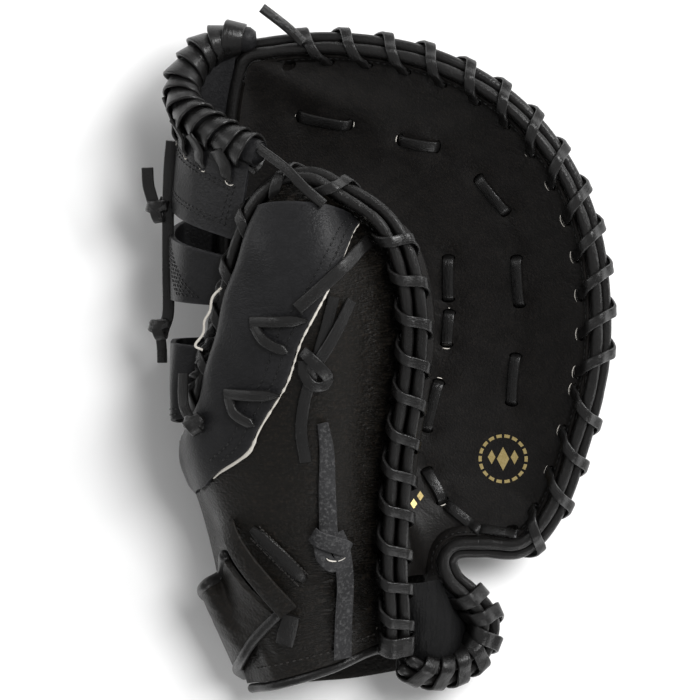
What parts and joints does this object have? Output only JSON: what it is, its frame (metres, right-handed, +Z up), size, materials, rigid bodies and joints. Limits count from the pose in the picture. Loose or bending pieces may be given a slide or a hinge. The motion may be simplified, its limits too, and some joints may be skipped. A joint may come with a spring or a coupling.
{
  "type": "first baseman mitt",
  "caption": "Black leather first baseman mitt for the left hand, lying closed on its back, with a laced rim, a deep pocket, a panelled web and a wrist strap.",
  "frame": {"origin": "on the flat floor side, below the middle of the pocket", "axes": "+Y runs from the wrist to the finger tips, +X from the web to the little finger side, +Z up from the floor"},
  "size_m": [0.2238, 0.3251, 0.1193],
  "materials": {
    "shell_leather": "smooth black shell leather",
    "back_leather": "wrinkled matte brown-black leather",
    "web_leather": "cool black panel leather",
    "welt_leather": "semi-gloss rolled leather",
    "lace_leather": "semi-gloss rawhide lace",
    "thong_leather": "dark grey suede"
  },
  "bodies": {
    "root": {"palm": "shell_leather", "heel_pad": "shell_leather", "finger_back": "back_leather", "thumb_back": "back_leather", "wrist_binding": "back_leather", "wrist_strap": "back_leather", "strap_keeper": "back_leather", "strap_tab": "back_leather", "thumb_panel": "web_leather", "web_bar": "web_leather", "web_top_panel": "web_leather", "web_middle_panel": "web_leather", "web_low_panel": "web_leather", "finger_palm_welt": "welt_leather", "finger_back_welt": "welt_leather", "thumb_palm_welt": "welt_leather", "thumb_back_welt": "welt_leather", "heel_lace": "lace_leather", "finger_rim_lace_lower": "lace_leather", "finger_rim_lace_upper": "lace_leather", "thumb_rim_lace": "lace_leather", "thumb_web_lace": "lace_leather", "palm_lace_outer": "lace_leather", "palm_lace_inner": "lace_leather", "palm_lace_heel": "lace_leather", "web_bar_lace": "lace_leather", "web_spine_lace": "lace_leather", "low_web_lace": "lace_leather", "v_lace_upper": "lace_leather", "v_lace_lower": "lace_leather", "thumb_thong": "lace_leather", "thumb_knot_lace": "lace_leather", "rim_tail": "lace_leather", "tip_strap": "lace_leather", "wide_thong": "thong_leather"}
  },
  "joints": []
}
